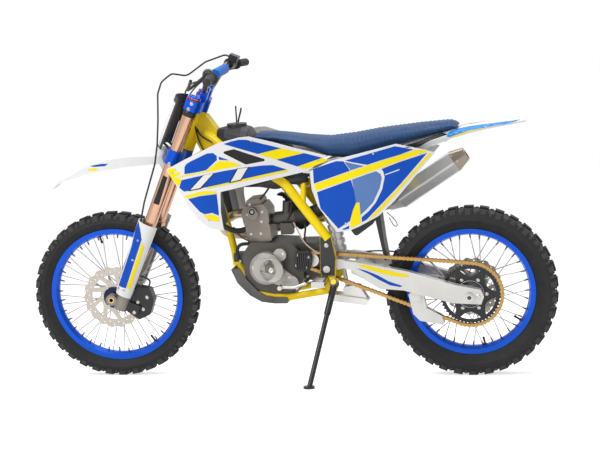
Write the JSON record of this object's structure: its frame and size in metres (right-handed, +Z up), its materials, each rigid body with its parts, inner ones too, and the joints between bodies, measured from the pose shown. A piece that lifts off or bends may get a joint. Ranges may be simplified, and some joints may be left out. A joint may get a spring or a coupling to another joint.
{
  "type": "off-road motorcycle",
  "caption": "Off-road motorcycle with knobbed tyres, wire wheels, long-travel fork, open single-cylinder engine and a side stand that it leans on.",
  "frame": {"origin": "centre of the bounding box's footprint, on the ground that both tyres and the stand's foot rest on, with the machine parked and leaning 8 degrees to its left", "axes": "+X towards the rear, along the longest extent; +Y to the rider's right, along the shortest extent; +Z up"},
  "size_m": [2.1614, 0.8128, 1.3349],
  "materials": {
    "black_plastic": "moulded",
    "black_metal": "coated",
    "pad_cover": "vinyl cover",
    "black_rubber": "moulded",
    "bare_steel": "bare",
    "cast_aluminium": "sand cast",
    "chain_gold": "plated",
    "header_steel": "heat tinted",
    "blue_plastic": "moulded",
    "copper_anodised": "anodised",
    "yellow_frame": "satin powder coat",
    "white_plastic": "moulded",
    "hub_anodised": "anodised",
    "blue_anodised": "anodised",
    "tyre_rubber": "knobbed",
    "tank_plastic": "moulded",
    "bar_aluminium": "anodised",
    "bare_aluminium": "brushed",
    "shock_steel": "coated",
    "seat_cover": "grained vinyl over foam",
    "cap_metal": "anodised"
  },
  "bodies": {
    "frame": {"airbox": "black_plastic", "brake_pedal": "bare_steel", "carburettor": "cast_aluminium", "chain": "chain_gold", "chain_guide": "black_plastic", "clutch_cover": "cast_aluminium", "cylinder_and_head": "cast_aluminium", "engine_crankcase": "cast_aluminium", "exhaust_header": "header_steel", "footpegs": "bare_steel", "frame_cradle": "yellow_frame", "frame_guards": "black_plastic", "frame_head": "yellow_frame", "frame_spars": "yellow_frame", "front_sprocket": "bare_steel", "fuel_tank": "tank_plastic", "intake_boot": "black_rubber", "linkage": "bare_aluminium", "pivot_shaft": "bare_steel", "radiators": "bare_aluminium", "rear_axle": "bare_steel", "rear_caliper": "cast_aluminium", "rear_fender": "white_plastic", "rear_shock": "shock_steel", "seat": "seat_cover", "shift_lever": "bare_steel", "shrouds": "blue_plastic", "side_panels": "blue_plastic", "silencer": "bare_aluminium", "silencer_cap": "cap_metal", "skid_plate": "bare_aluminium", "sprocket_cover": "black_plastic", "stator_cover": "cast_aluminium", "subframe": "bare_aluminium", "swingarm": "bare_aluminium"},
    "fork": {"fork_outer_tubes": "copper_anodised", "fork_lower_legs": "cast_aluminium", "front_axle": "bare_steel", "lower_clamp": "blue_anodised", "upper_clamp": "blue_anodised", "handlebar": "bar_aluminium", "bar_pad": "pad_cover", "grips": "black_rubber", "bar_controls": "black_metal", "number_plate": "white_plastic", "front_fender": "white_plastic", "fork_guards": "blue_plastic", "front_caliper": "cast_aluminium", "brake_hose": "black_rubber"},
    "front_wheel": {"front_tyre": "tyre_rubber", "front_rim": "blue_anodised", "front_hub_and_spokes": "hub_anodised", "front_brake_disc": "bare_steel"},
    "rear_wheel": {"rear_tyre": "tyre_rubber", "rear_rim": "blue_anodised", "rear_hub_and_spokes": "hub_anodised", "rear_brake_disc": "bare_steel", "rear_sprocket": "bare_aluminium"},
    "side_stand": {"side_stand": "black_metal"}
  },
  "joints": [
    {"name": "steering", "type": "hinge", "parent": "frame", "child": "fork", "pos_m": [-0.67173, 0.12732, 0.32107], "axis": [0.4083, -0.127, 0.904], "range_deg": [-45, 39]},
    {"name": "front_wheel_spin", "type": "hinge", "parent": "fork", "child": "front_wheel", "pos_m": [-0.73144, 0.12021, 0.34704], "axis": [-0.0478, 0.9859, 0.1601], "continuous": true},
    {"name": "rear_wheel_spin", "type": "hinge", "parent": "frame", "child": "rear_wheel", "pos_m": [0.73848, 0.12457, 0.34062], "axis": [0, 0.9903, 0.1392], "continuous": true},
    {"name": "stand_fold", "type": "hinge", "parent": "frame", "child": "side_stand", "pos_m": [0.21248, -0.03074, 0.38948], "axis": [-0.094, -0.9028, 0.4196], "range_deg": [0, 101.9]}
  ]
}
